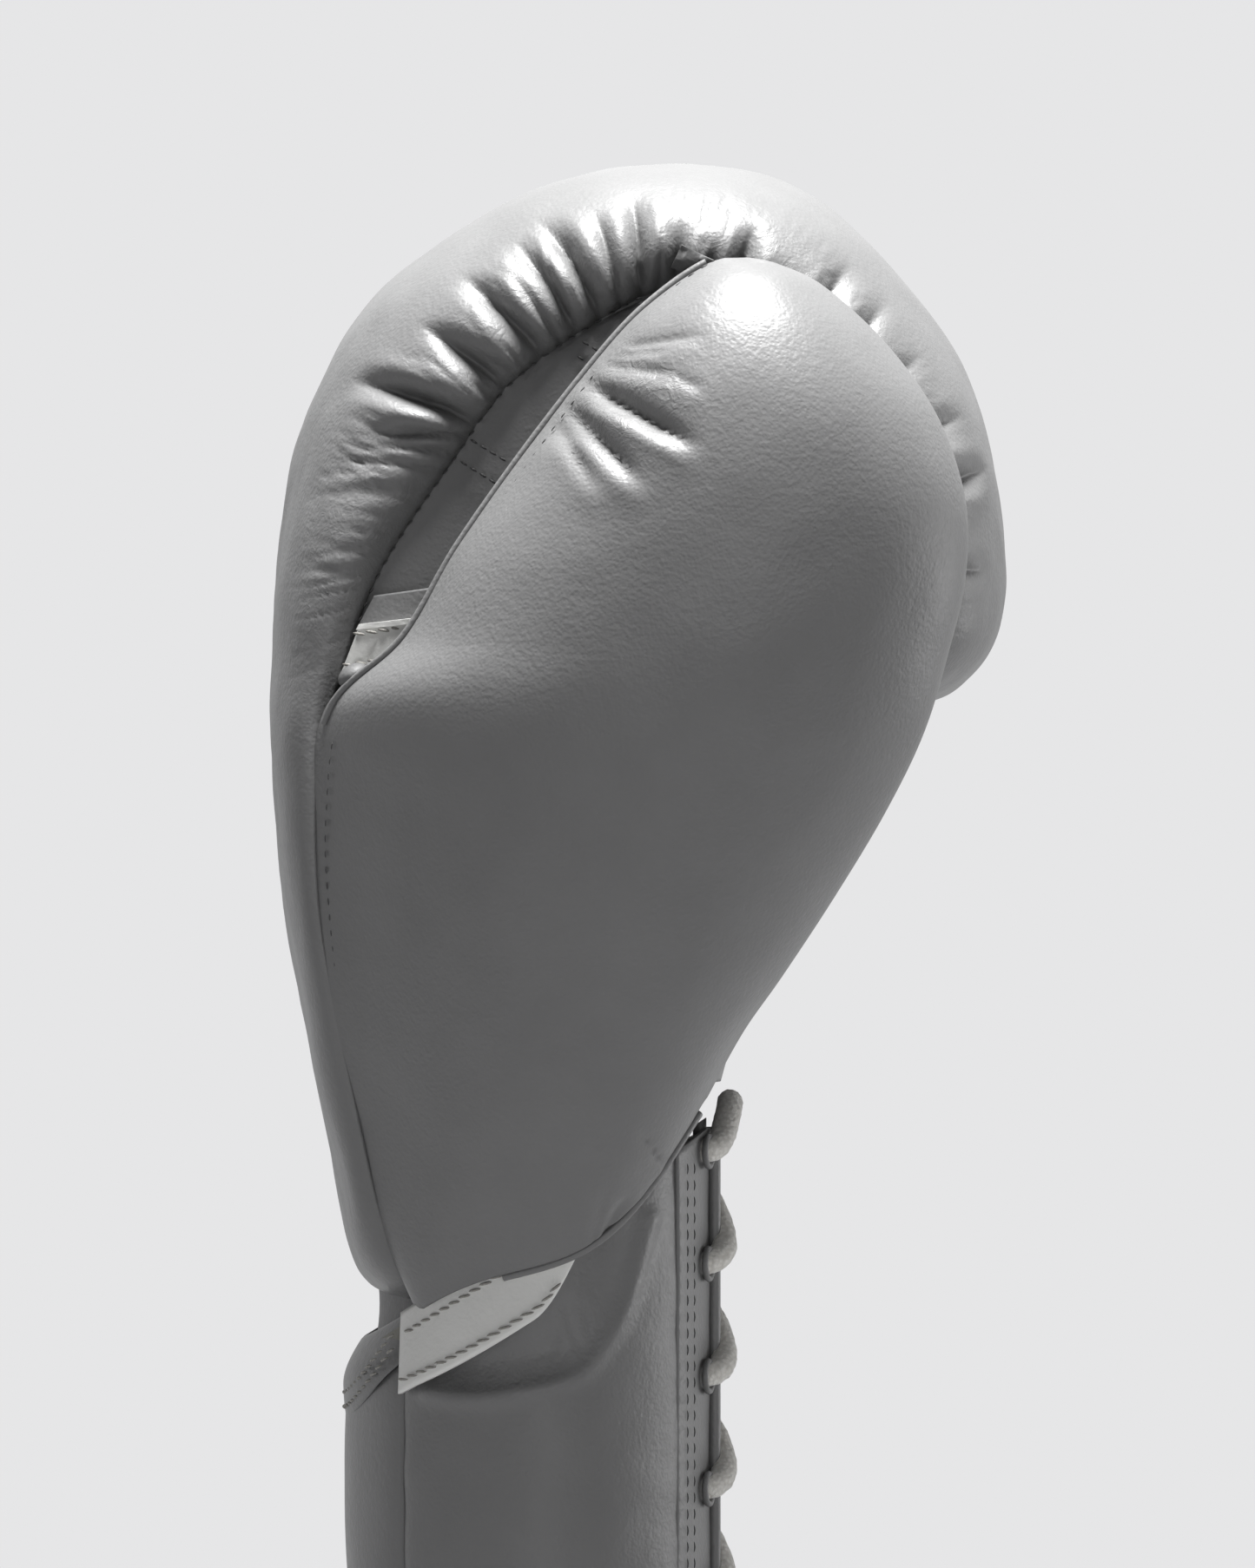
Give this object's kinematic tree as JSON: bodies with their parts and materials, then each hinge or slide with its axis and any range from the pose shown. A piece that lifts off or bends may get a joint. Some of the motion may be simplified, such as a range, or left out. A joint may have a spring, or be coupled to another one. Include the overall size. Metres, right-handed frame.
{
  "type": "lace-up boxing glove",
  "caption": "Padded lace-up boxing glove with a curled fist, an attached thumb, a gathered knuckle pad and a laced wrist cuff, standing on its cuff.",
  "frame": {"origin": "centre of the cuff's mouth, on the plane of the hem that the glove stands on", "axes": "+Z from the hem to the top of the fist, +X towards the palm and the laces, -Y towards the thumb"},
  "size_m": [0.1563, 0.1654, 0.3365],
  "materials": {
    "grey_leather": "smooth grained leather, satin",
    "inner_leather": "smooth leather, matt",
    "light_leather": "off-white leather, satin",
    "edge_binding": "thin folded leather",
    "lining_cloth": "dark woven lining",
    "foam": "closed-cell foam, hidden",
    "lace_cotton": "flat woven soft cotton",
    "aglet_plastic": "clear-coated tip"
  },
  "bodies": {
    "cuff": {"cuff_back_panel": "grey_leather", "cuff_thumb_side_panel": "grey_leather", "cuff_pinky_side_panel": "grey_leather", "cuff_back_pad": "foam", "cuff_thumb_side_pad": "foam", "cuff_pinky_side_pad": "foam", "cuff_lining": "lining_cloth", "thumb_side_lace_facing": "grey_leather", "pinky_side_lace_facing": "grey_leather", "thumb_side_slit_edge": "edge_binding", "pinky_side_slit_edge": "edge_binding", "hem_binding": "edge_binding", "back_yoke": "grey_leather", "thumb_side_wrist_trim": "light_leather", "pinky_side_wrist_trim": "light_leather", "neck_gusset": "grey_leather", "neck_lining": "lining_cloth", "lace": "lace_cotton", "lace_knot": "lace_cotton", "thumb_side_lace_tail": "lace_cotton", "pinky_side_lace_tail": "lace_cotton", "thumb_side_aglet": "aglet_plastic", "pinky_side_aglet": "aglet_plastic"},
    "mitt": {"knuckle_shell": "grey_leather", "knuckle_pad_outer": "foam", "knuckle_pad_middle": "foam", "knuckle_pad_inner": "foam", "back_of_hand_pad": "foam", "hand_lining": "lining_cloth", "finger_lining": "lining_cloth", "grip_bar": "inner_leather", "finger_panel": "inner_leather", "palm_panel": "grey_leather", "palm_pad": "foam", "thumb_side_panel": "grey_leather", "pinky_side_panel": "grey_leather", "thumb_side_pad": "foam", "pinky_side_pad": "foam", "thumb_base_pad": "foam", "thumb_throat_lining": "lining_cloth", "thumb_web": "inner_leather", "thumb_lock_strap": "light_leather"},
    "thumb": {"thumb_outer_panel": "grey_leather", "thumb_inner_panel": "inner_leather", "thumb_pad": "foam", "thumb_lining": "lining_cloth", "thumb_tip_tab": "inner_leather"}
  },
  "joints": [
    {"name": "wrist_flex", "type": "hinge", "parent": "cuff", "child": "mitt", "pos_m": [0, 0, 0.121], "axis": [0, 1, 0], "range_deg": [-12, 12], "stiffness_Nm_per_rad": 6, "deforming": ["neck_gusset", "neck_lining"]},
    {"name": "thumb_flex", "type": "hinge", "parent": "mitt", "child": "thumb", "pos_m": [0.02, -0.0785, 0.2165], "axis": [1, 0, 0], "range_deg": [0, 12], "stiffness_Nm_per_rad": 1.5, "deforming": ["thumb_outer_panel", "thumb_lock_strap"]}
  ]
}
